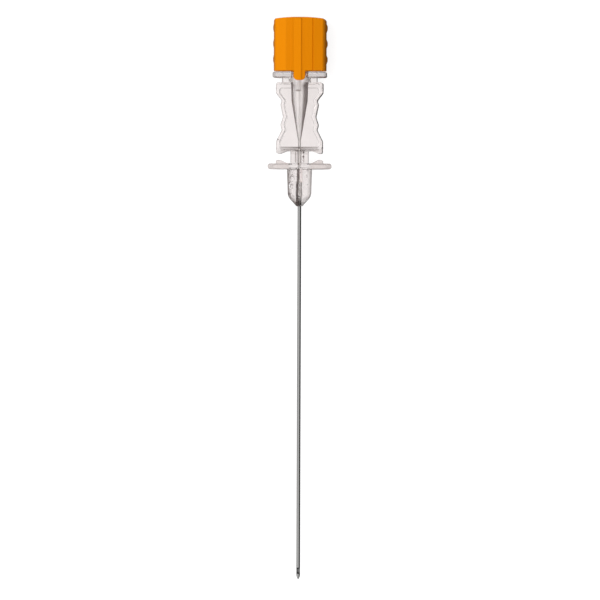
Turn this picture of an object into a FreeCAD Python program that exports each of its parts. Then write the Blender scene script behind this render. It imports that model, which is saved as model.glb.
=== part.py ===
import FreeCAD, Part
import math
import os

# Spinal needle, in millimetres.
# The needle lies on its back. The tube runs along Y with its point towards -Y,
# and Z is up, out of the front of the cap and out of the side eye near the point.
# The origin is on the tube's axis, in the end face of the hub's nose.
# Five pieces: the clear hub, the steel tube, the glue that holds the tube in the
# hub's nose, and the stylet, which is a moulded cap on a thin steel wire.

# Steel tube
tube_dia = 0.90
tube_bore_dia = 0.64
tube_exposed_length = 90.0
tube_rear = 9.20
point_length = 1.30
point_bore_gap = 0.10

# Side eye, measured from the point
eye_start = 1.36
eye_length = 1.50
eye_floor_height = 0.143
eye_end_radius = 0.30

# Glue joint in the nose
glue_well_dia = 1.24
glue_depth = 6.0
anchor_groove_count = 2
anchor_groove_depth = 0.06
glue_film = 0.02

# Hub along Y, from the nose to the top flange
nose_length = 8.95
wing_thickness = 1.35
neck_length = 3.03
grip_length = 16.54
throat_length = 1.13
flange_thickness = 1.40

# Nose
nose_root_dia = 6.00
nose_shoulder_dia = 5.62
nose_cone_length = 2.36
nose_end_dia = 1.46
nose_shoulder_radius = 2.40

# Finger wings, each with a low ridge on the hub's side
wing_width = 15.44
rest_depth = 4.20
wing_edge_break = 0.35
ridge_inner_half = 2.95
ridge_crest_half = 4.55
ridge_outer_half = 5.60
ridge_height = 0.84
ridge_half_depth = 2.60

# Neck below the grip: a flat rib with a round core
neck_rib_half_width = 2.17
neck_rib_half_thickness = 0.62
core_dia = 2.10

# Grip: a solid body, slightly recessed inside its rim on the front and back
grip_half_depth = 2.90
grip_rim = 0.92
grip_top_wall = 1.40
grip_foot_wall = 0.95
grip_edge_break = 0.25
grip_recess = 0.30
grip_foot_slope_height = 0.80
grip_foot_slope_depth = 0.42
grip_top_slope_height = 0.70
grip_top_slope_depth = 0.55
shoulder_half_width = 5.63
shoulder_length = 2.60
shoulder_corner = 0.60
dip_half_width = 4.20
crest_half_width = 4.54
waist_half_width = 3.92
upper_dip_share = 0.16
upper_crest_share = 0.24
waist_share = 0.50
lower_crest_share = 0.66
lower_dip_share = 0.77
ripple_radius = 0.80
flare_half_width = 5.55
flare_length = 2.30
foot_corner = 0.45
foot_drop = 0.65
foot_toe_half_width = 4.60
foot_flat_half_width = 2.95

# Round barrel about the socket, between the grip and the flange
barrel_dia = 5.60
throat_web_half_width = 4.28
throat_web_half_thickness = 0.90

# Top flange with a notch at the front
flange_half_width = 6.50
flange_half_depth = 3.75
flange_corner = 2.00
flange_edge_break = 0.25

# Conical socket and funnel
socket_mouth_dia = 4.30
socket_taper = 0.06
socket_depth = 7.00
socket_lead = 0.15
funnel_length = 9.60

# Stylet cap
cap_gap = 0.25
cap_half_width = 6.24
cap_length = 12.95
cap_crown = 0.42
cap_corner = 0.75
cap_edge_radius = 0.85
cap_panel_height = 3.60
cap_crease_left = 3.05
cap_crease_right = 3.45
cap_groove_half_width = 0.13
cap_groove_depth = 0.22
cap_crease_radius = 0.60
cap_cheek_half_width = 5.75
cap_cheek_height = 2.95
cap_side_height = 1.70
cap_side_draft = 0.35
cap_side_foot = -1.20
cap_wall = 1.20
cap_boss_dia = 5.20

# Bumps down each side of the cap
bump_count = 3
bump_first = 2.80
bump_pitch = 3.80
bump_length = 2.20
bump_ramp = 0.75
bump_height = 0.30
bump_radius = 0.50

# Rib down the front of the cap, which runs on as the key
key_left = 1.30
key_right = 1.45
key_length = 2.28
key_corner = 0.90
key_side_gap = 0.20
key_front_gap = 0.25
rib_crest_at = -1.20
rib_crest_radius = 0.35
rib_step_at = 0.52
rib_step_top = 4.16
rib_step_foot = 3.88
rib_foot_left = 1.90

# Plug under the cap, and the wire held in it
plug_length = 1.35
plug_gap = 0.03
wire_dia = 0.50
wire_hold_depth = 9.00
wire_end_gap = 0.25
wire_end_break = 0.08

# Heights along Y that follow from the sizes above
wing_base = nose_length
wing_top = wing_base + wing_thickness
grip_base = wing_top + neck_length
grip_top = grip_base + grip_length
flange_base = grip_top + throat_length
flange_top = flange_base + flange_thickness
socket_floor = flange_top - socket_depth
funnel_floor = socket_floor - funnel_length
cap_base = flange_top + cap_gap
cap_top = cap_base + cap_length
tube_tip = -tube_exposed_length

tube_radius = tube_dia / 2
bore_radius = tube_bore_dia / 2
socket_slope = socket_taper / 2

V = FreeCAD.Vector
ALONG_X = V(1, 0, 0)
ALONG_Y = V(0, 1, 0)
ALONG_Z = V(0, 0, 1)
ORIGIN = V(0, 0, 0)
FULL_TURN = 360.0
same_place = 1e-4
overshoot = 1.0


# Drawing helpers. An outline is a list of corners (u, v) or (u, v, radius).

def in_front(u, v):
    return V(u, v, 0)


def in_section(u, v):
    return V(u, 0, v)


def in_side(u, v):
    return V(0, u, v)


def rounded_corner(before, corner, after, radius):
    """Start, middle and end of the arc that rounds a corner."""
    to_before = (before - corner).normalize()
    to_after = (after - corner).normalize()
    half_angle = to_before.getAngle(to_after) / 2
    reach = radius / math.tan(half_angle)
    inset = radius / math.sin(half_angle) - radius
    middle = corner + (to_before + to_after).normalize() * inset
    return corner + to_before * reach, middle, corner + to_after * reach


def path(corners, place, closed):
    """Lines and corner arcs through the corners."""
    points = [place(*corner[:2]) for corner in corners]
    stops = []
    for spot, corner in enumerate(corners):
        if len(corner) > 2 and corner[2] > 0.0:
            after = points[(spot + 1) % len(points)]
            stops.append(rounded_corner(points[spot - 1], points[spot], after, corner[2]))
        else:
            stops.append((points[spot],))
    following = stops[1:] + (stops[:1] if closed else [])
    edges = []
    for stop, upcoming in zip(stops, following):
        if len(stop) > 1:
            edges.append(Part.Arc(*stop).toShape())
        if stop[-1].distanceToPoint(upcoming[0]) > same_place:
            edges.append(Part.LineSegment(stop[-1], upcoming[0]).toShape())
    return edges


def outline(corners, place):
    return Part.Face(Part.Wire(path(corners, place, True)))


def both_halves(corners):
    """Corners of the right-hand half, from the top down, with their mirror image."""
    return corners + [(-corner[0],) + corner[1:] for corner in reversed(corners)]


def plate(corners, place, direction, low, high):
    """The outline as a plate between two heights along the direction."""
    face = outline(corners, place)
    face.translate(direction * low)
    return face.extrude(direction * (high - low))


def turned(corners):
    """A solid of revolution about Y from corners of (radius, y)."""
    return outline(corners, in_front).revolve(ORIGIN, ALONG_Y, FULL_TURN)


def rod(dia, low, high):
    """A round solid along Y between two heights."""
    return turned([(0, low), (dia / 2, low), (dia / 2, high), (0, high)])


def box_section(half_width, half_depth, radius=0.0):
    return [
        (half_width, half_depth, radius),
        (half_width, -half_depth, radius),
        (-half_width, -half_depth, radius),
        (-half_width, half_depth, radius),
    ]


def upright(section, low, high):
    return plate(section, in_section, ALONG_Y, low, high)


def across(edge, way):
    """True where the whole edge lies in one plane across the X, Y or Z direction."""
    box = edge.BoundBox
    spans = {"X": box.XLength, "Y": box.YLength, "Z": box.ZLength}
    return spans[way] < same_place


def edges_broken(shape, way, size):
    """Breaks the edges that lie across the given direction with a small flat."""
    return shape.makeChamfer(size, [edge for edge in shape.Edges if across(edge, way)])


# Hub

def make_nose():
    return turned([
        (0, 0),
        (nose_end_dia / 2, 0),
        (nose_shoulder_dia / 2, nose_cone_length, nose_shoulder_radius),
        (nose_root_dia / 2, wing_base),
        (0, wing_base),
    ])


def make_wings():
    wings = upright(box_section(wing_width / 2, rest_depth, rest_depth - same_place),
                    wing_base, wing_top)
    wings = edges_broken(wings, "Y", wing_edge_break)
    root = wing_top - wing_edge_break
    crest = wing_top + ridge_height
    ramp = ridge_crest_half - ridge_inner_half
    for side in (1, -1):
        ridge = [
            (side * (ridge_inner_half - ramp / 2), root),
            (side * (ridge_inner_half - ramp / 2), wing_top),
            (side * ridge_inner_half, wing_top, ramp),
            (side * ridge_crest_half, crest, ramp / 2),
            (side * ridge_outer_half, crest, ridge_height / 2),
            (side * ridge_outer_half, root),
        ]
        wings = wings.fuse(plate(ridge, in_front, ALONG_Z, -ridge_half_depth, ridge_half_depth))
    return wings


def make_neck():
    low = wing_top - wing_thickness / 2
    high = grip_base + grip_foot_wall / 2
    flat_rib = upright(box_section(neck_rib_half_width, neck_rib_half_thickness), low, high)
    return flat_rib.fuse(rod(core_dia, low, high))


def grip_side(inset, top):
    """Corners down the grip's right-hand side, drawn in by inset, as far as the flare."""
    run_top = grip_top - shoulder_length
    run = run_top - grip_base - flare_length
    ripples = [
        (shoulder_half_width, 0.0),
        (dip_half_width, upper_dip_share),
        (crest_half_width, upper_crest_share),
        (waist_half_width, waist_share),
        (crest_half_width, lower_crest_share),
        (dip_half_width, lower_dip_share),
        (flare_half_width, 1.0),
    ]
    corners = [(shoulder_half_width - inset, top, shoulder_corner)]
    corners += [(half_width - inset, run_top - share * run, ripple_radius)
                for half_width, share in ripples]
    return corners


def make_grip():
    toe = grip_base - foot_drop
    foot = [
        (flare_half_width, toe, foot_corner),
        (foot_toe_half_width, toe, foot_corner),
        (foot_flat_half_width, grip_base, foot_corner),
    ]
    grip = plate(both_halves(grip_side(0, grip_top) + foot), in_front, ALONG_Z,
                 -grip_half_depth, grip_half_depth)
    grip = edges_broken(grip, "Z", grip_edge_break)
    slope_top = grip_base + grip_foot_slope_height
    foot_half_depth = grip_half_depth - grip_foot_slope_depth
    top_half_depth = grip_half_depth - grip_top_slope_depth
    profile = plate([
        (toe, foot_half_depth),
        (slope_top, grip_half_depth),
        (grip_top - grip_top_slope_height, grip_half_depth),
        (grip_top, top_half_depth),
        (grip_top, -top_half_depth),
        (grip_top - grip_top_slope_height, -grip_half_depth),
        (slope_top, -grip_half_depth),
        (toe, -foot_half_depth),
    ], in_side, ALONG_X, -wing_width, wing_width)
    grip = grip.common(profile)
    recess = grip_side(grip_rim, grip_top - grip_top_wall)
    recess.append((flare_half_width - grip_rim, grip_base + grip_foot_wall))
    outside = grip_half_depth + overshoot
    floor = grip_half_depth - grip_recess
    for low, high in ((floor, outside), (-outside, -floor)):
        grip = grip.cut(plate(both_halves(recess), in_front, ALONG_Z, low, high))
    return grip


def make_barrel():
    """The socket's round wall between the grip and the flange, with a web on each side."""
    low = grip_top - grip_top_wall
    web = upright(box_section(throat_web_half_width, throat_web_half_thickness),
                  low, flange_base + flange_thickness / 2)
    return rod(barrel_dia, low, flange_top).fuse(web)


def make_flange():
    flange = upright(box_section(flange_half_width, flange_half_depth, flange_corner),
                     flange_base, flange_top)
    flange = edges_broken(flange, "Y", flange_edge_break)
    notch_half = key_right + key_side_gap
    notch = [
        (notch_half, grip_half_depth),
        (notch_half, flange_half_depth + overshoot),
        (-notch_half, flange_half_depth + overshoot),
        (-notch_half, grip_half_depth),
    ]
    return flange.cut(upright(notch, flange_base - overshoot, flange_top + overshoot))


def make_cavity():
    """Socket, funnel, channel, tube seat and glue well, as one turned tool."""
    mouth_radius = socket_mouth_dia / 2
    above = flange_top + overshoot
    seat_radius = tube_radius + glue_film
    return turned([
        (0, above),
        (mouth_radius + socket_lead, above),
        (mouth_radius + socket_lead, flange_top),
        (mouth_radius - socket_slope * socket_lead, flange_top - socket_lead),
        (mouth_radius - socket_slope * socket_depth, socket_floor),
        (bore_radius, funnel_floor),
        (bore_radius, tube_rear),
        (seat_radius, tube_rear),
        (seat_radius, glue_depth),
        (glue_well_dia / 2, glue_depth),
        (glue_well_dia / 2, -overshoot),
        (0, -overshoot),
    ])


def make_hub():
    hub = make_nose().fuse([make_wings(), make_neck(), make_grip(), make_barrel(), make_flange()])
    return hub.cut(make_cavity()).removeSplitter()


# Steel tube

def tube_wall():
    """The tube's outside from its point to its rear end, as path corners and edges."""
    ogive_radius = (tube_radius ** 2 + point_length ** 2) / (2 * tube_radius)
    half_turn = math.asin(point_length / ogive_radius) / 2
    ogive_root = tube_tip + point_length
    ogive = Part.Arc(
        V(0, tube_tip, 0),
        V(tube_radius - ogive_radius * (1 - math.cos(half_turn)),
          ogive_root - ogive_radius * math.sin(half_turn), 0),
        V(tube_radius, ogive_root, 0))
    corners = [(tube_radius, ogive_root), (tube_radius, 0)]
    pitch = glue_depth / anchor_groove_count
    for groove in range(anchor_groove_count):
        corners.append((tube_radius - anchor_groove_depth, (groove + 0.5) * pitch))
        corners.append((tube_radius, (groove + 1) * pitch))
    corners += [(tube_radius, tube_rear), (0, tube_rear), (0, tube_tip)]
    return [ogive.toShape()] + path(corners, in_front, False)


def tube_solid():
    return Part.Face(Part.Wire(tube_wall())).revolve(ORIGIN, ALONG_Y, FULL_TURN)


def make_cannula():
    bore_end = tube_tip + point_length + point_bore_gap
    bore = turned([
        (0, bore_end - bore_radius / 2),
        (bore_radius, bore_end),
        (bore_radius, tube_rear + overshoot),
        (0, tube_rear + overshoot),
    ])
    eye_low = tube_tip + eye_start
    eye_high = eye_low + eye_length
    reach = tube_radius + overshoot
    eye = plate([
        (eye_low, reach),
        (eye_low, eye_floor_height, eye_end_radius),
        (eye_high, eye_floor_height, eye_end_radius),
        (eye_high, reach),
    ], in_side, ALONG_X, -reach, reach)
    return tube_solid().cut(bore).cut(eye)


def make_adhesive():
    fill = turned([
        (0, 0),
        (glue_well_dia / 2, 0),
        (glue_well_dia / 2, glue_depth),
        (0, glue_depth),
    ])
    return fill.cut(tube_solid())


# Stylet

def cap_side():
    """Corners up the cap's right-hand side, with its row of bumps."""
    corners = []
    for bump in range(bump_count):
        low = cap_base + bump_first + bump * bump_pitch - bump_length / 2
        high = low + bump_length
        crest = cap_half_width + bump_height
        corners += [
            (cap_half_width, low, bump_radius),
            (crest, low + bump_ramp, bump_radius),
            (crest, high - bump_ramp, bump_radius),
            (cap_half_width, high, bump_radius),
        ]
    return corners


def cap_front():
    """The cap's front outline: bumped sides and a crowned top with round corners."""
    crown_radius = (cap_half_width ** 2 + cap_crown ** 2) / (2 * cap_crown)
    crown_centre = V(0, cap_top - crown_radius, 0)
    corner_x = cap_half_width - cap_corner
    corner_rise = math.sqrt((crown_radius - cap_corner) ** 2 - corner_x ** 2)
    corner_centre = crown_centre + V(corner_x, corner_rise, 0)
    outward = (corner_centre - crown_centre).normalize()
    on_crown = crown_centre + outward * crown_radius
    on_side = corner_centre + ALONG_X * cap_corner
    halfway = corner_centre + (outward + ALONG_X).normalize() * cap_corner
    corners = [(0, cap_base), (cap_half_width, cap_base)] + cap_side() + [(on_side.x, on_side.y)]
    half = path(corners, in_front, False) + [Part.Arc(on_side, halfway, on_crown).toShape()]
    other_half = [edge.mirror(ORIGIN, ALONG_X) for edge in half]
    left_on_crown = V(-on_crown.x, on_crown.y, 0)
    crown = Part.Arc(on_crown, V(0, cap_top, 0), left_on_crown).toShape()
    return Part.Face(Part.Wire(Part.__sortEdges__(half + other_half + [crown])))


def cap_section():
    """The cap's outline across Y: flat back, creased front and the raised key rib."""
    wide = cap_half_width + bump_height
    return [
        (wide, -rest_depth, cap_edge_radius),
        (wide, cap_side_foot),
        (wide - cap_side_draft, cap_side_height, cap_crease_radius),
        (cap_cheek_half_width, cap_cheek_height, cap_crease_radius),
        (cap_crease_right, cap_panel_height),
        (cap_crease_right - cap_groove_half_width, cap_panel_height - cap_groove_depth),
        (cap_crease_right - 2 * cap_groove_half_width, cap_panel_height),
        (rib_step_at, rib_step_foot),
        (rib_step_at, rib_step_top),
        (rib_crest_at, rest_depth, rib_crest_radius),
        (-rib_foot_left, cap_panel_height, rib_crest_radius),
        (-cap_crease_left, cap_panel_height, cap_crease_radius),
        (-cap_cheek_half_width, cap_cheek_height, cap_crease_radius),
        (cap_side_draft - wide, cap_side_height, cap_crease_radius),
        (-wide, cap_side_foot),
        (-wide, -rest_depth, cap_edge_radius),
    ]


def make_key():
    """The tongue that runs on from the rib and drops into the flange's notch."""
    inner = grip_half_depth + key_front_gap
    low = cap_base - key_length
    high = cap_base + cap_wall
    tongue = plate([
        (key_right, high),
        (key_right, low, key_corner),
        (-key_left, low, key_corner),
        (-key_left, high),
    ], in_front, ALONG_Z, inner, rest_depth + overshoot)
    return tongue.common(upright(cap_section(), low, high))


def make_plug():
    """Short cone under the cap that centres in the socket's mouth."""
    top_radius = socket_mouth_dia / 2 + socket_slope * cap_gap - plug_gap
    base = cap_base - plug_length
    return turned([
        (0, base),
        (top_radius - socket_slope * plug_length, base),
        (top_radius, cap_base),
        (top_radius, cap_base + cap_wall),
        (0, cap_base + cap_wall),
    ])


def make_core_pocket():
    """Moulding core under the cap, which leaves a boss in the middle for the wire."""
    side = cap_half_width - cap_wall
    pocket_top = cap_top - cap_crown - cap_wall
    pocket = upright([
        (side, cap_side_height),
        (side, -rest_depth + cap_wall, cap_edge_radius),
        (-side, -rest_depth + cap_wall, cap_edge_radius),
        (-side, cap_side_height),
    ], cap_base - overshoot, pocket_top)
    boss = turned([
        (0, cap_base - overshoot),
        (cap_boss_dia / 2, cap_base - overshoot),
        (cap_boss_dia / 2, pocket_top),
        (0, pocket_top),
    ])
    return pocket.cut(boss)


def make_stylet_cap():
    block = upright(cap_section(), cap_base, cap_top)
    front = cap_front()
    front.translate(ALONG_Z * (-rest_depth - overshoot))
    front = front.extrude(ALONG_Z * 2 * (rest_depth + overshoot))
    reach = cap_half_width + overshoot
    profile = plate([
        (cap_base, -rest_depth),
        (cap_base, rest_depth),
        (cap_top, rest_depth, cap_edge_radius),
        (cap_top, -rest_depth, cap_edge_radius),
    ], in_side, ALONG_X, -reach, reach)
    cap = block.common(front).common(profile).cut(make_core_pocket())
    cap = cap.fuse([make_key(), make_plug()])
    wire_hole = turned([
        (0, cap_base - plug_length - overshoot),
        (wire_dia / 2, cap_base - plug_length - overshoot),
        (wire_dia / 2, cap_base + wire_hold_depth),
        (0, cap_base + wire_hold_depth),
    ])
    return cap.cut(wire_hole).removeSplitter()


def make_stylet_wire():
    """Straight wire with a blunt end, held in the cap and stopping short of the eye."""
    low = tube_tip + eye_start + eye_length + wire_end_gap
    return turned([
        (0, low),
        (wire_dia / 2 - wire_end_break, low),
        (wire_dia / 2, low + wire_end_break),
        (wire_dia / 2, cap_base + wire_hold_depth),
        (0, cap_base + wire_hold_depth),
    ])


pieces = {
    "hub": make_hub,
    "cannula": make_cannula,
    "adhesive": make_adhesive,
    "stylet_cap": make_stylet_cap,
    "stylet_wire": make_stylet_wire,
}

os.makedirs("parts", exist_ok=True)
for name, make in pieces.items():
    shape = make()
    box = shape.BoundBox
    print(name, "solids", len(shape.Solids), "valid", shape.isValid(), "volume", round(shape.Volume, 3),
          "x", round(box.XMin, 3), round(box.XMax, 3), "y", round(box.YMin, 3), round(box.YMax, 3),
          "z", round(box.ZMin, 3), round(box.ZMax, 3))
    shape.exportStep("parts/" + name + ".step")
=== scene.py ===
from math import cos, radians, sin
from random import Random

import bmesh
import bpy
from mathutils import Matrix, Vector


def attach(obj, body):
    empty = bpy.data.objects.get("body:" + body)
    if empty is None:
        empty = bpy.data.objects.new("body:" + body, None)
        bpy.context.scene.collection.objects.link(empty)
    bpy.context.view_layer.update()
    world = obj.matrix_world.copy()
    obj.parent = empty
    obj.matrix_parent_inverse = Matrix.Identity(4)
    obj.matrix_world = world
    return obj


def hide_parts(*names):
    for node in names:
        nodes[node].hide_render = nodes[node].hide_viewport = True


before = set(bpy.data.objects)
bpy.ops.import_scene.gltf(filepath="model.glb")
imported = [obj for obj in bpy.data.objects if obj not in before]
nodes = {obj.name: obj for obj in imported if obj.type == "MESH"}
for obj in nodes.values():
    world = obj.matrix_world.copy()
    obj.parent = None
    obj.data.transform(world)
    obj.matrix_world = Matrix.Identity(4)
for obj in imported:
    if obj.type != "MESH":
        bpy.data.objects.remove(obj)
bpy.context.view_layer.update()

MM = 0.001


def mm(x, y, z):
    return Vector((x, y, z)) * MM


# Sizes in millimetres, in the part's own frame

camera_target = (0.22, -22.6, 0.0)
camera_distance = 2010.0
camera_roll = 3.0
camera_turn = 0.20
camera_lens = 500.0
camera_sensor = 36.0
camera_clip = (0.01, 20.0)
lamp_size = 700.0
lamps_aim = (0, -20, 0)

floor_half_width = 900.0
floor_height = -4.22

# Painted light on the cap's left cheek and the rib's crest, and painted shade down its sides
cheek_left = 3.1
crest_at = -0.35
crest_reach = 0.95
cap_side = 5.98

# Meshes: points nearer than this are merged, and faces are put in order along a slanting line
merge_distance = 0.0005
order_line = Vector((1.0, 1.7320508, 0.6180340))

# Angles between faces, in degrees, and the widths of the rounded edges
flat_angle = 0.4
corner_angle = 28.0
smooth_angle = 32.0
fold_limit = 26.0
hub_edge = 0.10
cap_edge = 0.06

# The bore, the socket and the well lie within these distances of the axis
bore_clearance = 2.0
socket_clearance = 2.3
socket_from = 14.0

# Bounds round the hub's bore, the tube's seat and the bubbles, whose walls are no outside faces
channel_reach = 1.00
channel_top = 13.25
funnel_spread = 1.45
funnel_floor = 15.8
funnel_length = 9.6
seat_top = 9.2
seat_reach = 0.70
glue_top = 5.95
bubble_reach = 2.62
bubble_rows = (3.0, 8.75)

# Rows and lines of the hub along the tube, for the painted shade and glint on its parts
nose_top = 8.9
nose_dim_from = 1.75
cone_top = 2.5
wing_rows = (8.95, 11.2)
wing_inner = 2.2
neck_rows = (10.5, 13.2)
neck_lines = (2.10, 0.98)
neck_specks = [(0.95, 13.00), (0.95, 11.95)]
mottle_from = 0.9
# A painted glint on a bubble in the nose: (x, y, half width, half length)
glint_patch = (-2.28, 4.90, 0.36, 0.78)
ring_rows = (27.92, 28.95)
post_edge = 4.15
grip_rows = (14.2, 29.7)
outline_from = 3.2
foot_rows = (12.4, 14.1)
foot_line = 14.05
foot_line_spread = 0.36
foot_line_reach = 4.9
throat_foot = 29.7
flange_rows = (31.15, 32.05)

# Heights of the flat faces of the grip's rim, its panels and the flange, which get little painted
# shade
flat_heights = (2.90, 2.60, 3.75)

# The side eye, with painted shade inside, darkest at both its ends
eye_middle = -87.87
eye_rows = (-88.68, -87.10)
eye_reach = 0.42
eye_floor = 0.143

# Air bubbles moulded into the hub: (x, y, z, radius, stretch along the nose)
bubbles = [
    (-2.12, 8.38, 0.90, 0.30, 1.4),
    (-2.20, 7.62, 0.55, 0.24, 1.3),
    (-1.70, 8.66, 1.40, 0.20, 1.2),
    (-1.42, 7.42, 1.60, 0.24, 1.5),
    (-1.85, 6.70, 1.20, 0.12, 1.0),
    (-2.05, 4.90, 0.95, 0.27, 1.8),
    (-1.62, 5.30, 1.60, 0.11, 1.0),
    (1.62, 7.30, 1.55, 0.17, 2.8),
    (1.80, 5.24, 1.30, 0.14, 0.7),
    (1.80, 8.62, 1.20, 0.18, 1.2),
    (0.80, 12.80, 0.35, 0.13, 1.1),
    (0.80, 11.80, 0.35, 0.13, 1.2),
    (0.78, 10.95, 0.30, 0.08, 1.4),
    (-5.02, 16.05, 1.90, 0.14, 1.2),
]

# Finer flecks in the nose, scattered from a fixed seed
fleck_seed = 11
fleck_count = 34
fleck_radius = (0.035, 0.095)
fleck_reach = (1.15, 2.45)
fleck_rows = (3.2, 8.6)
fleck_arc = (80.0, 215.0)


# Shader writing

class Value:
    """A shader socket that takes part in arithmetic. Each sum adds its own Math node."""

    def __init__(self, finish, socket):
        self.finish = finish
        self.socket = socket

    def _join(self, operation, first, second):
        return self.finish.add("ShaderNodeMath", {"operation": operation}, first, second)

    def __add__(self, other):
        return self._join("ADD", self, other)

    def __radd__(self, other):
        return self._join("ADD", other, self)

    def __sub__(self, other):
        return self._join("SUBTRACT", self, other)

    def __rsub__(self, other):
        return self._join("SUBTRACT", other, self)

    def __mul__(self, other):
        return self._join("MULTIPLY", self, other)

    def __rmul__(self, other):
        return self._join("MULTIPLY", other, self)

    def __truediv__(self, other):
        return self._join("DIVIDE", self, other)

    def clamped(self):
        return self.finish.add("ShaderNodeClamp", {}, self)

    def size(self):
        return self.finish.add("ShaderNodeMath", {"operation": "ABSOLUTE"}, self)


class Finish:
    """The node tree of one material or of the world."""

    def __init__(self, owner):
        owner.use_nodes = True
        self.tree = owner.node_tree
        self.tree.nodes.clear()

    def add(self, kind, settings, *values, out=0, **named):
        """Adds a node, makes its settings, then sets or links its sockets."""
        node = self.tree.nodes.new(kind)
        for name, setting in settings.items():
            if name == "stops":
                ramp = node.color_ramp
                while len(ramp.elements) < len(setting):
                    ramp.elements.new(0.5)
                for element, (position, colour) in zip(ramp.elements, setting):
                    element.position = position
                    element.color = colour
            else:
                setattr(node, name, setting)
        for index, value in enumerate(values):
            self._fill(node.inputs[index], value)
        for name, value in named.items():
            self._fill(node.inputs[name.replace("_", " ")], value)
        return Value(self, node.outputs[out] if node.outputs else None)

    def _fill(self, socket, value):
        if isinstance(value, Value):
            self.tree.links.new(value.socket, socket)
        elif value is not None:
            socket.default_value = value

    def place(self, scale):
        """The surface's place in the part, stretched by a scale for each axis."""
        at = self.add("ShaderNodeTexCoord", {}, out=3)
        return self.add("ShaderNodeMapping", {}, at, Scale=scale)

    def millimetres(self):
        """The surface's place in the part as three numbers."""
        split = self.add("ShaderNodeSeparateXYZ", {}, self.place((1000, 1000, 1000)))
        return [Value(self, part) for part in split.socket.node.outputs]

    def noise(self, scale, detail=2.0, roughness=0.5):
        return self.add("ShaderNodeTexNoise", {}, Vector=self.place(scale), Scale=1.0,
                        Detail=detail, Roughness=roughness)

    def blend(self, share, first, second):
        """A mix of two colours. Its colour sockets come after those for numbers and vectors."""
        return self.add("ShaderNodeMix", {"data_type": "RGBA"}, share, *[None] * 5, first, second,
                        out=2)

    def ray(self, name):
        return self.add("ShaderNodeLightPath", {}, out=name)

    def surface(self, shader):
        self.add("ShaderNodeOutputMaterial", {}, shader)


def shade(red, green, blue):
    return (red, green, blue, 1.0)


def grey_stops(*stops):
    """Ramp stops from pairs of a position and a grey level."""
    return [(position, shade(level, level, level)) for position, level in stops]


def new_finish(name):
    material = bpy.data.materials.new(name)
    return material, Finish(material)


def between(value, low, high, fade=8.0):
    """1 where a value lies between two limits, fading to 0 outside them."""
    return ((value - low) * fade).clamped() * ((high - value) * fade).clamped()


def line_at(value, middle, half_width):
    """1 where a value is at the middle, fading to 0 at the half width."""
    return (1 - (value - middle).size() / half_width).clamped()


# Colours of the finishes, as the shader reads them
# Brown of the painted shade in the clear plastic, also used for its dark specks and mottle
shade_and_speck_brown = shade(0.125, 0.098, 0.090)
pink_plastic = shade(0.83, 0.785, 0.775)
grey_plastic = shade(0.775, 0.735, 0.73)
pink_light = shade(0.865, 0.830, 0.820)
shadow_light = shade(0.93, 0.90, 0.89)
# White of the painted highlight beside the tube in its seat
highlight_white = shade(0.97, 0.91, 0.90)
white = shade(1.0, 1.0, 1.0)
glue_light = shade(0.95, 0.92, 0.91)
# Browns of the set glue, also laid as painted shade down its left side
glue_and_shade_brown = shade(0.16, 0.105, 0.088)
glue_and_shade_dark = shade(0.085, 0.058, 0.050)
orange = shade(0.640, 0.194, 0.0004)
# Pale orange of the flow streaks, also the painted light on the cap's left cheek and crest
streak_and_lit_orange = shade(0.735, 0.226, 0.0008)
# Painted shade down the cap's sides
shaded_orange = shade(0.15, 0.060, 0.0004)
tube_dark = shade(0.38, 0.38, 0.375)
tube_light = shade(0.46, 0.455, 0.45)
wire_dark = shade(0.90, 0.90, 0.89)
wire_light = shade(0.97, 0.96, 0.95)
eye_black = shade(0.006, 0.006, 0.006)
paper_grey = shade(0.32, 0.32, 0.32)
# Dark of the painted reflection in the table
reflection_dark = shade(0.02, 0.02, 0.02)


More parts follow.
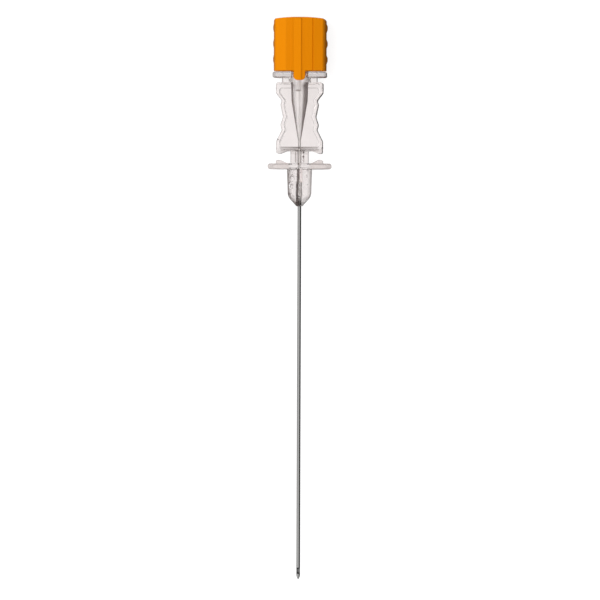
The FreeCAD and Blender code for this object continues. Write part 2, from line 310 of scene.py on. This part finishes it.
def clear_plastic():
    """Clear moulded plastic: pinkish grey outside, with painted shade on slanting faces and bore
    walls.
    """
    material, finish = new_finish("clear_plastic")
    x, y, z = finish.millimetres()
    off_centre = x * x + z * z
    spread = ((y - funnel_floor) / funnel_length).clamped()
    bore_reach = spread * funnel_spread + channel_reach
    bore = ((bore_reach * bore_reach - off_centre) * 12).clamped() * ((y - seat_top) * 10).clamped()
    seat = ((seat_reach ** 2 - off_centre) * 20).clamped() * ((seat_top - y) * 20 + 1).clamped()
    foam = (((bubble_reach ** 2 - off_centre) * 5).clamped() * (1 - seat)
            * between(y, *bubble_rows))
    inside = bore + foam

    # Painted shade and a painted glint, by place
    nose = (nose_top - y).clamped()
    wing = between(y, *wing_rows) * ((x.size() - wing_inner) * 3).clamped()
    throat = ((y - throat_foot) * 4).clamped()
    foot = between(y, *foot_rows, fade=4)
    channel = (1 - spread) * ((channel_top - y) * 4).clamped()
    specks = [((0.05 - (x - across) * (x - across) - (y - along) * (y - along)) * 60).clamped()
              for across, along in neck_specks]
    neck = between(y, *neck_rows) * (line_at(x.size(), neck_lines[0], 0.14) * 0.35
                                     + line_at(x.size(), neck_lines[1], 0.17) * 0.50)
    mottle = ((finish.noise((1500, 1200, 1500), detail=2.0) - 0.50) * 8).clamped()
    # Painted glint: a clear patch without shade on a bubble in the nose
    across, along, half_width, half_length = glint_patch
    side, end = (x - across) / half_width, (y - along) / half_length
    painted_glint = nose * ((1 - side * side - end * end) * 3).clamped()
    cone = (cone_top - y).clamped()
    grip = between(y, *grip_rows) * 0.6
    outline = ((-outline_from - x).clamped() * 1.2 - (x - outline_from).clamped() * 0.9) * grip
    rim, panel, flange = [line_at(z.size(), height, 0.04) for height in flat_heights]
    flat = (rim + panel + flange).clamped()
    # Painted shade on the wings, flange, foot and its line, the nose's and the cone's left sides,
    # the throat's posts and the neck's lines, with dark mottle on the nose's left
    painted_shade_and_mottle = (wing * 0.17 + between(y, *flange_rows) * 0.15 + foot * 0.08
             + line_at(y, foot_line, foot_line_spread) * (1.05 - x.size() * 0.12)
             * ((foot_line_reach - x.size()) * 2).clamped() * 0.85
             + nose * (((-nose_dim_from - x) * 1.1).clamped() * 0.22
                       + ((-mottle_from - x) * 1.5).clamped() * mottle * 0.42) * (1 - painted_glint)
             + cone * ((-0.5 - x) * 2).clamped() * 0.16
             + throat * (1 - between(y, *flange_rows)) * line_at(x.size(), post_edge, 0.20) * 0.5
             + neck)

    flow = finish.noise((900, 260, 900), detail=1.0)
    cloud = finish.noise((420, 420, 420), detail=3.0)
    outside = finish.blend(cloud, pink_plastic, grey_plastic)
    tint = finish.blend(inside, outside, white)
    waves = finish.add("ShaderNodeBump", {}, Strength=0.25, Distance=0.00004, Height=flow)
    glass = finish.add("ShaderNodeBsdfPrincipled", {}, Base_Color=tint,
                       Roughness=0.03 + cloud * 0.04 + bore * 0.45,
                       IOR=1.49, Transmission_Weight=1.0, Normal=waves)
    # A dark brown coat that lays painted shade on the plastic
    shade_and_speck_bsdf = finish.add("ShaderNodeBsdfPrincipled", {}, Base_Color=shade_and_speck_brown, Roughness=0.5,
                       Specular_IOR_Level=0.2)
    # Painted shade on faces seen aslant and on the bore's walls, darker on the right wall, with
    # dark lines in the channel and rings across the bore
    slant = finish.add("ShaderNodeLayerWeight", {}, Blend=0.5, out=1)
    edges = finish.add("ShaderNodeValToRGB", {"stops": grey_stops(
        (0.00, 0.0), (0.22, 0.02), (0.60, 0.36), (0.95, 0.62))}, slant)
    right = (x * 1.5).clamped()
    walls = finish.add("ShaderNodeValToRGB", {"stops": grey_stops(
        (0.00, 0.0), (0.24, 0.04), (0.35, 0.72), (0.70, 0.98))},
        slant + foam * 0.16 + bore * (right * 0.20 - 0.03))
    lines = channel * (line_at(x, -0.30, 0.11) + line_at(x, 0.22, 0.09) * 0.7)
    rings = ((line_at(y, ring_rows[0], 0.34) * line_at(x, -0.3, 1.0) * 2.0).clamped() * 0.75
             + line_at(y, ring_rows[1], 0.24) * 0.35)
    walls = (walls * (1 - channel) * (1 - throat * 0.6) + lines + rings * bore).clamped()
    # Painted shade at slanting faces, heavier on the grip's left outline and the nose, lighter on
    # the wings, throat, foot and flat faces
    dark = ((edges * (1 + outline + nose * 0.3 - wing * 0.85 - throat * 0.5 - foot * 0.5)
             * (1 - painted_glint) * (1 - flat * 0.8) + painted_shade_and_mottle)
            * (1 - inside) + walls * inside + specks[0] + specks[1])

    # The seat is matched to the tube in it, with a painted shadow line on the left and a painted
    # highlight beside it
    low = ((glue_top - y) * 8).clamped()
    shadow = (((0.05 - low * 0.25 - x) * 9).clamped()
              * ((x + 0.43 + low * 0.13) * 12).clamped() * 0.97)
    painted_highlight = ((x - 0.03) * 9).clamped() * (1 - low) * 0.95
    body = finish.add("ShaderNodeMixShader", {}, (dark + shadow * seat).clamped(), glass, shade_and_speck_bsdf)
    seen_through = finish.add("ShaderNodeMixShader", {}, wing * (1 - inside),
                        finish.add("ShaderNodeBsdfTransparent", {}, white),
                        finish.add("ShaderNodeBsdfTransparent", {}, pink_light))
    # Places seen straight through without refraction; among them the painted glint and painted
    # light on the cone's right side
    clear = (seat * (1 - shadow) + bore * (1 - walls) * (0.4 + channel * 0.55)
             + (wing * 0.75 + throat * 0.22 + painted_glint * 0.85 + cone * (x * 3 + 0.4).clamped() * 0.45)
             * (1 - inside))
    body = finish.add("ShaderNodeMixShader", {}, clear.clamped(), body, seen_through)
    # Painted highlight: a pale diffuse sheet over the tube's right side in the seat
    painted_highlight_bsdf = finish.add("ShaderNodeBsdfDiffuse", {}, highlight_white)
    body = finish.add("ShaderNodeMixShader", {}, painted_highlight * seat, body, painted_highlight_bsdf)
    light = finish.add("ShaderNodeBsdfTransparent", {}, shadow_light)
    finish.surface(finish.add("ShaderNodeMixShader", {}, finish.ray("Is Shadow Ray"), body, light))
    return material


def cured_glue():
    """Set glue: clear inside the nose, brown in a heavy bead at the end, with painted shade down
    its left side.
    """
    material, finish = new_finish("cured_glue")
    x, y = finish.millimetres()[:2]
    cloud = finish.noise((1500, 900, 1500), detail=3.0)
    end = (1.30 - y * 0.50 + cloud * 0.3).clamped()
    # Painted shade down the glue's left side
    left = ((-0.22 - x) * 7).clamped()
    brown_glue_and_shade = (end * (1.5 - x.size() * 3.2).clamped() * 0.9 + left * 0.95).clamped()
    tint = finish.blend(cloud, glue_and_shade_brown, glue_and_shade_dark)
    skin = finish.add("ShaderNodeBump", {}, Strength=0.3, Distance=0.00003, Height=cloud)
    brown = finish.add("ShaderNodeBsdfPrincipled", {}, Base_Color=tint,
                       Roughness=0.22 + cloud * 0.12, IOR=1.50, Normal=skin)
    clear = finish.add("ShaderNodeBsdfTransparent", {}, glue_light)
    finish.surface(finish.add("ShaderNodeMixShader", {}, brown_glue_and_shade, clear, brown))
    return material


def orange_plastic():
    """Opaque orange plastic with a soft gloss, a fine grain and faint flow streaks."""
    material, finish = new_finish("orange_plastic")
    grain = finish.noise((9000, 9000, 9000), detail=2.0)
    streaks = finish.noise((700, 90, 700), detail=2.0)
    x = finish.millimetres()[0]
    # Painted shade: the cap is darker down its sides, where its side walls are in shade
    shaded = ((x.size() - cap_side) * 6).clamped() * 0.5
    # Painted light: the left cheek and the rib's crest are lighter, as if lit from the left
    painted_light = (((x + cheek_left) * -3).clamped()
               + ((crest_reach - (x - crest_at).size()) * 5).clamped() * 0.7)
    tint = finish.blend((streaks * 0.5 + painted_light * 0.7).clamped(), orange, streak_and_lit_orange)
    tint = finish.blend(shaded, tint, shaded_orange)
    skin = finish.add("ShaderNodeBump", {}, Strength=0.35, Distance=0.000012, Height=grain)
    body = finish.add("ShaderNodeBsdfPrincipled", {}, Base_Color=tint,
                      Roughness=0.42 + streaks * 0.10 + grain * 0.06, IOR=1.50,
                      Specular_IOR_Level=0.03, Normal=skin)
    finish.surface(body)
    return material


def drawn_steel(name, dark, light, rough, shaded_bore=False):
    """Bare steel with fine scratches along its length, left by the drawing die."""
    material, finish = new_finish(name)
    scratches = finish.noise((26000, 350, 26000), detail=3.0, roughness=0.65)
    stain = finish.noise((500, 120, 500), detail=2.0)
    tint = finish.blend((scratches * 0.7 + stain * 0.3).clamped(), dark, light)
    if shaded_bore:
        # Painted shade inside the side eye and the bore seen through it, darkest at the eye's ends
        x, y, z = finish.millimetres()
        inner = ((eye_reach ** 2 - x * x - z * z) * 40).clamped()
        eye = (inner + line_at(z, eye_floor, 0.015)).clamped() * between(y, *eye_rows, fade=20)
        ends = ((y - eye_middle).size() * 2.2 - 0.5).clamped()
        tint = finish.blend(eye * (ends * 0.65 + 0.35), tint, eye_black)
    skin = finish.add("ShaderNodeBump", {}, Strength=0.30, Distance=0.000006, Height=scratches)
    body = finish.add("ShaderNodeBsdfPrincipled", {}, Base_Color=tint, Metallic=1.0,
                      Roughness=rough + scratches * 0.12 + stain * 0.05, Normal=skin)
    finish.surface(body)
    return material


def table_top():
    """A plain white table that shows full white to the camera and through glass; in gloss it is
    dimmer, with a painted dark reflection right of the part.
    """
    material, finish = new_finish("table_top")
    through = finish.ray("Is Transmission Ray")
    gloss = finish.ray("Is Glossy Ray") * (1 - through)
    # Painted dark reflection: in gloss the table right of the part is dark, so the steel's right
    # side shows dark
    painted_dark_reflection = gloss * (finish.millimetres()[0] - 0.8).clamped() * 0.92
    seen = (finish.ray("Is Camera Ray") + through + gloss * (1 - painted_dark_reflection) * 0.25).clamped()
    paper = finish.add("ShaderNodeBsdfDiffuse", {}, finish.blend(painted_dark_reflection, paper_grey, reflection_dark))
    glow = finish.add("ShaderNodeEmission", {}, white, seen * 0.76)
    finish.surface(finish.add("ShaderNodeAddShader", {}, paper, glow))
    return material


# Pieces

def dressed_copy(node, name, body, material, edge=0.0, chosen=None, extra=None, flats=False):
    """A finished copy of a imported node: doubles merged, sharp edges rounded, curves smooth."""
    form = bmesh.new()
    form.from_mesh(nodes[node].data)
    bmesh.ops.remove_doubles(form, verts=form.verts, dist=merge_distance * MM)
    bmesh.ops.dissolve_limit(form, angle_limit=radians(flat_angle), verts=form.verts,
                             edges=form.edges)
    if edge:
        corners = [line for line in form.edges
                   if line.is_manifold and line.is_convex
                   and line.calc_face_angle() > radians(corner_angle)
                   and (chosen is None or chosen(line))]
        bmesh.ops.bevel(form, geom=corners, offset=edge * MM, offset_type="OFFSET", affect="EDGES",
                        segments=2, profile=0.5, material=-1, clamp_overlap=False)
    if extra:
        extra(form)
    piece = new_piece(form, name, node, body, material)
    if flats:
        piece.modifiers.new("flats", "WEIGHTED_NORMAL").keep_sharp = True
    return piece


def new_piece(form, name, node, body, material):
    bmesh.ops.triangulate(form, faces=form.faces)
    # Bevel leaves its faces in another order each run
    form.verts.sort(key=lambda vert: vert.co.dot(order_line))
    form.faces.sort(key=lambda face: face.calc_center_median().dot(order_line))
    mesh = bpy.data.meshes.new(name)
    form.to_mesh(mesh)
    form.free()
    mesh.shade_smooth()
    mesh.set_sharp_from_angle(angle=radians(smooth_angle))
    split_folds(mesh)
    piece = bpy.data.objects.new(name, mesh)
    bpy.context.scene.collection.objects.link(piece)
    mesh.materials.append(material)
    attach(piece, body)
    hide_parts(node)
    return piece


def split_folds(mesh):
    """Marks the edges of faces whose shading leans too far from their own slope as sharp."""
    shading = mesh.corner_normals
    leaning = [face for face in mesh.polygons if face.normal.length > 0.5
               and min(shading[corner].vector.dot(face.normal)
                       for corner in face.loop_indices) < cos(radians(fold_limit))]
    for face in leaning:
        for corner in face.loop_indices:
            mesh.edges[mesh.loops[corner].edge_index].use_edge_sharp = True


def off_axis(line):
    """True for an edge that isn't part of the bore, the socket or the glue well."""
    for vert in line.verts:
        clearance = socket_clearance if vert.co.y > socket_from * MM else bore_clearance
        if (vert.co.x ** 2 + vert.co.z ** 2) ** 0.5 <= clearance * MM:
            return False
    return True


def flecks():
    """Fine bubbles, thickest on the nose's left: (x, y, z, radius, stretch)."""
    chance = Random(fleck_seed)
    for _ in range(fleck_count):
        turn = radians(chance.uniform(*fleck_arc))
        reach = chance.uniform(*fleck_reach)
        yield (reach * cos(turn), chance.uniform(*fleck_rows), reach * sin(turn),
               chance.uniform(*fleck_radius), chance.uniform(0.9, 1.8))


def blow_bubbles(form):
    """Small closed hollows inside the plastic, with their faces turned towards the air."""
    for x, y, z, radius, stretch in bubbles + list(flecks()):
        place = Matrix.Translation(mm(x, y, z)) @ Matrix.Diagonal((1.0, stretch, 0.8, 1.0))
        ball = bmesh.ops.create_icosphere(form, subdivisions=2, radius=radius * MM, matrix=place)
        faces = {face for vert in ball["verts"] for face in vert.link_faces}
        bmesh.ops.reverse_faces(form, faces=list(faces))


hub = dressed_copy("hub", "moulded_hub", "needle", clear_plastic(), edge=hub_edge, chosen=off_axis,
                   extra=blow_bubbles, flats=True)

glue = dressed_copy("adhesive", "glue_sleeve", "needle", cured_glue())

tube = dressed_copy("cannula", "drawn_tube", "needle",
                    drawn_steel("tube_steel", tube_dark, tube_light, 0.10, shaded_bore=True))

cap = dressed_copy("stylet_cap", "moulded_cap", "stylet", orange_plastic(), edge=cap_edge,
                   chosen=off_axis, flats=True)

wire = dressed_copy("stylet_wire", "drawn_wire", "stylet",
                    drawn_steel("wire_steel", wire_dark, wire_light, 0.75))


# Table, light and camera

def table():
    form = bmesh.new()
    bmesh.ops.create_grid(form, x_segments=2, y_segments=2, size=floor_half_width * MM,
                          matrix=Matrix.Translation(mm(0, 0, floor_height)))
    mesh = bpy.data.meshes.new("table")
    form.to_mesh(mesh)
    form.free()
    mesh.materials.append(table_top())
    piece = bpy.data.objects.new("table", mesh)
    bpy.context.scene.collection.objects.link(piece)


def soft_lamp(name, place, watts):
    """A square lamp that faces the part."""
    light = bpy.data.lights.new(name, "AREA")
    light.energy = watts
    light.size = lamp_size * MM
    lamp = bpy.data.objects.new(name, light)
    lamp.location = mm(*place)
    lamp.rotation_euler = (mm(*lamps_aim) - lamp.location).to_track_quat("-Z", "Y").to_euler()
    lamp.visible_glossy = False
    bpy.context.scene.collection.objects.link(lamp)


def studio():
    """A white room to the camera, brighter on the left and darker low on the right."""
    world = bpy.data.worlds.new("studio")
    bpy.context.scene.world = world
    finish = Finish(world)
    way = finish.add("ShaderNodeTexCoord", {}, out=0)
    split = finish.add("ShaderNodeSeparateXYZ", {}, way)
    across_way, up_way = split, Value(finish, split.socket.node.outputs[2])
    sides = finish.add("ShaderNodeValToRGB", {"stops": [
        (0.00, shade(1.00, 1.00, 1.00)), (0.40, shade(0.98, 0.98, 0.98)),
        (0.72, shade(0.85, 0.85, 0.85)), (0.80, shade(0.40, 0.39, 0.39)),
        (0.86, shade(0.10, 0.10, 0.10)), (1.00, shade(0.04, 0.04, 0.04))]}, across_way * 0.5 + 0.5)
    height = finish.add("ShaderNodeValToRGB", {"stops": [
        (0.00, shade(0.30, 0.28, 0.28)), (0.25, shade(0.75, 0.74, 0.74)),
        (0.60, shade(1.00, 1.00, 1.00))]}, up_way)
    room = finish.add("ShaderNodeBackground", {}, sides, height)
    blank = finish.add("ShaderNodeBackground", {}, white, 1.0)
    pale = (finish.ray("Is Camera Ray") + finish.ray("Is Transmission Ray") * 0.8).clamped()
    both = finish.add("ShaderNodeMixShader", {}, pale, room, blank)
    finish.add("ShaderNodeOutputWorld", {}, both)


def camera():
    view = bpy.data.cameras.new("camera")
    view.lens = camera_lens
    view.sensor_width = camera_sensor
    view.clip_start, view.clip_end = camera_clip
    holder = bpy.data.objects.new("camera", view)
    back = Vector((sin(radians(camera_roll)), 0, cos(radians(camera_roll))))
    holder.location = mm(*camera_target) + back * camera_distance * MM
    holder.rotation_euler = (Matrix.Rotation(radians(camera_roll), 4, "Y")
                             @ Matrix.Rotation(radians(camera_turn), 4, "Z")).to_euler()
    bpy.context.scene.collection.objects.link(holder)
    bpy.context.scene.camera = holder


table()
studio()
soft_lamp("window_left", place=(-520, 180, 800), watts=3.4)
soft_lamp("window_right", place=(640, -60, 700), watts=2.3)
camera()
bpy.context.scene.view_settings.view_transform = "Standard"
